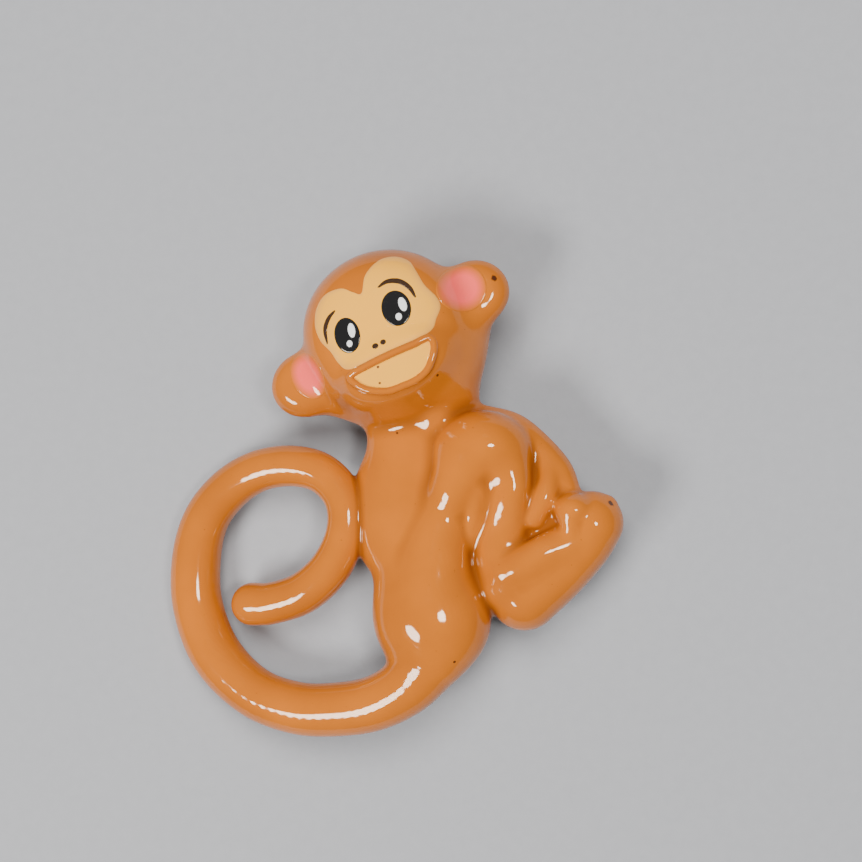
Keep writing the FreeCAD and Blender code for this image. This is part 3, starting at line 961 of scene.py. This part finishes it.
def floor_paper():
    """Plain pale grey with a fine grain."""
    material, tree, shader = new_material("floor_paper")
    grain = noise(tree, 900.0, 4.0, 0.6)
    tree.links.new(mixed(tree, grain, FLOOR_LOW, FLOOR_HIGH), shader.inputs["Base Color"])
    shader.inputs["Roughness"].default_value = 0.75
    bumped(tree, shader, grain, 0.3, 0.0001)
    return material


def dress(piece, material):
    """Gives every face of a piece one material."""
    piece.data.materials.clear()
    piece.data.materials.append(material)


# ---------------------------------------------------------------- build the pieces

coat, coat_points = sculpted("enamel_coat", coat_field())
GROOVE_FULL = 0.16  # how far the broad average sinks in the sharpest groove
# depth of the groove under each point of the coat, which the brown material turns into painted shade
groove = -sampled(broad, coat_points)
point_value(coat, "groove", np.clip(groove / GROOVE_FULL, 0, 1))
casting = sculpted("hollow_casting", casting_field())[0]

WELT_RADIUS = 0.33
WELT_LIFT = 0.12
welt_path = closed_curve(MUZZLE_LINE, 8)
welt_points, welt_faces = welt_mesh(welt_path, WELT_RADIUS, WELT_LIFT)
welt = new_object("muzzle_welt", welt_points, welt_faces)
point_value(welt, "groove", np.zeros(len(welt_points)))

# Heights of the edge and the top of each kind of patch above the sculpted head.
SKIN_LIFT = (-0.03, 0.05)
EYE_LIFT = (0.045, 0.11)
GLINT_LIFT = (0.09, 0.15)
NOSTRIL_LIFT = (0.045, 0.09)
BROW_LIFT = (0.045, 0.10)
EAR_LIFT = (-0.02, 0.06)
MUZZLE_MIDDLE = (1.6, 11.2)


def ovals(rows, count=48):
    return [oval_outline(*one, count) for one in rows]


def paint(name, cad_node, outlines, rings, lift, centre=None):
    return patch(name, cad_node, outlines, rings, *lift, centre)


muzzle_curve = closed_curve(MUZZLE_LINE)
face_curve = closed_curve(FACE_LINE)
pieces = {
    "face_patch": paint("face_patch", "face_enamel", [face_curve], 22, SKIN_LIFT),
    "muzzle_patch": paint("muzzle_patch", "muzzle_enamel", [muzzle_curve], 16, SKIN_LIFT, MUZZLE_MIDDLE),
    "left_eye_paint": paint("left_eye_paint", "left_eye", ovals([LEFT_EYE]), 8, EYE_LIFT),
    "right_eye_paint": paint("right_eye_paint", "right_eye", ovals([RIGHT_EYE]), 8, EYE_LIFT),
    "glint_paint": paint("glint_paint", "eye_glints", ovals(GLINTS, 24), 5, GLINT_LIFT),
    "nostril_paint": paint("nostril_paint", "nostrils", ovals(NOSTRILS, 20), 4, NOSTRIL_LIFT),
    "left_brow_paint": brow("left_brow_paint", "left_brow", LEFT_BROW, 0.21, *BROW_LIFT),
    "right_brow_paint": brow("right_brow_paint", "right_brow", RIGHT_BROW, 0.24, *BROW_LIFT),
    "left_ear_paint": paint("left_ear_paint", "left_ear_enamel", ovals([LEFT_PINK]), 12, EAR_LIFT),
    "right_ear_paint": paint("right_ear_paint", "right_ear_enamel", ovals([RIGHT_PINK]), 12, EAR_LIFT),
}
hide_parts("brown_enamel")
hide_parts("brown_enamel")
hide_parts("body_casting")

brown = brown_enamel()
cream = cream_enamel()
black = plain_enamel("black_enamel_look", (0.012, 0.012, 0.013), (0.004, 0.004, 0.005), 0.08)
dark = plain_enamel("dark_brown_look", (0.045, 0.022, 0.012), (0.02, 0.01, 0.006), 0.15)
white = plain_enamel("white_enamel_look", (0.9, 0.9, 0.88), (0.8, 0.8, 0.76), 0.1)
pink = pink_enamel()
LOOKS = {
    "face_patch": (cream, "cream_enamel"),
    "muzzle_patch": (cream, "cream_enamel"),
    "left_eye_paint": (black, "black_enamel"),
    "right_eye_paint": (black, "black_enamel"),
    "glint_paint": (white, "white_enamel"),
    "nostril_paint": (dark, "dark_brown_enamel"),
    "left_brow_paint": (dark, "dark_brown_enamel"),
    "right_brow_paint": (dark, "dark_brown_enamel"),
    "left_ear_paint": (pink, "pink_enamel"),
    "right_ear_paint": (pink, "pink_enamel"),
}
pieces["enamel_coat"] = coat
pieces["muzzle_welt"] = welt
pieces["hollow_casting"] = casting
LOOKS["enamel_coat"] = (brown, "brown_enamel")
LOOKS["muzzle_welt"] = (brown, "brown_enamel")
white_metal = metal("cast_white_metal", (0.62, 0.61, 0.59), (0.34, 0.33, 0.31), 0.42, 1500.0, bump=0.6)
LOOKS["hollow_casting"] = (white_metal, "casting_metal")
for name, piece in pieces.items():
    material, slot_name = LOOKS[name]
    dress(piece, material)
    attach(piece, "brooch")

nickel = metal("nickel_steel", (0.68, 0.66, 0.62), (0.42, 0.38, 0.32), 0.26, 900.0, (1.0, 6.0, 1.0), 0.2)
wire = metal("spring_wire", (0.72, 0.71, 0.69), (0.50, 0.47, 0.43), 0.2, 1500.0, (6.0, 0.6, 6.0), 0.15)
brass = metal("washed_brass", (0.80, 0.66, 0.36), (0.52, 0.38, 0.18), 0.28, 1200.0, bump=0.2)
tin = metal("soft_solder", (0.56, 0.56, 0.56), (0.33, 0.33, 0.34), 0.45, 1100.0, bump=0.7)
for node_name, material in (
    ("bar_plate", nickel),
    ("hinge_rivet", nickel),
    ("catch_housing", nickel),
    ("catch_rotor", brass),
    ("pin_stem", wire),
    ("solder_joints", tin),
):
    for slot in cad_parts[node_name].material_slots:
        slot.material = material

# ---------------------------------------------------------------- floor, lights and camera

FLOOR_SIDE = 1.2
half_side = FLOOR_SIDE / 2
floor_corners = [(x * half_side, y * half_side, 0) for x, y in ((-1, -1), (1, -1), (1, 1), (-1, 1))]
floor_mesh = bpy.data.meshes.new("floor")
floor_mesh.from_pydata(floor_corners, [], [(0, 1, 2, 3)])
floor = bpy.data.objects.new("floor", floor_mesh)
bpy.context.scene.collection.objects.link(floor)
dress(floor, floor_paper())

WORLD_COLOUR = (0.95, 0.97, 1.0, 1.0)
WORLD_STRENGTH = 0.14
world = bpy.data.worlds.new("studio")
bpy.context.scene.world = world
world.use_nodes = True
background = world.node_tree.nodes["Background"]
background.inputs["Color"].default_value = WORLD_COLOUR
background.inputs["Strength"].default_value = WORLD_STRENGTH

middle = [(low + high) / 2 for low, high in zip(*cad_box)]


def soft_light(name, direction, distance, width, height, power):
    """An oval light aimed at the middle of the brooch."""
    data = bpy.data.lights.new(name, "AREA")
    data.shape = "ELLIPSE"
    data.size = width
    data.size_y = height
    data.energy = power
    light = bpy.data.objects.new(name, data)
    bpy.context.scene.collection.objects.link(light)
    length = math.sqrt(sum(value * value for value in direction))
    unit = [value / length for value in direction]
    light.location = [middle[i] + unit[i] * distance for i in range(3)]
    tilt = math.acos(unit[2])
    heading = math.atan2(unit[1], unit[0]) + math.pi / 2
    light.rotation_euler = (tilt, 0.0, heading)
    return light


# Distances and sizes in metres, powers in watts.
soft_light("main_lamp", (-0.50, -0.44, 0.74), distance=0.34, width=0.16, height=0.10, power=1.20)
soft_light("right_lamp", (0.40, -0.02, 0.92), distance=0.34, width=0.07, height=0.07, power=0.45)
top_lamp = soft_light("top_lamp", (0.05, 0.42, 0.90), distance=0.5, width=0.3, height=0.3, power=2.7)
top_lamp.visible_glossy = False  # it brightens the colours but isn't mirrored in the enamel

VIEW_ANGLE = math.radians(28.0)
VIEW_TILT = math.radians(8.0)  # from straight above, towards the monkey's feet
VIEW_DISTANCE = 156.0
AIM_SHIFT = (3.75, 5.85)  # from the middle of the brooch
AIM_HEIGHT = 4.0
CLIP_START = 0.01
aim = (middle[0] / MM + AIM_SHIFT[0], middle[1] / MM + AIM_SHIFT[1], AIM_HEIGHT)
camera_data = bpy.data.cameras.new("camera")
camera_data.angle = VIEW_ANGLE
camera_data.clip_start = CLIP_START
camera = bpy.data.objects.new("camera", camera_data)
bpy.context.scene.collection.objects.link(camera)
camera.location = (
    (aim[0] + VIEW_DISTANCE * math.sin(VIEW_TILT)) * MM,
    aim[1] * MM,
    (aim[2] + VIEW_DISTANCE * math.cos(VIEW_TILT)) * MM,
)
camera.rotation_euler = (0.0, VIEW_TILT, 0.0)
bpy.context.scene.camera = camera
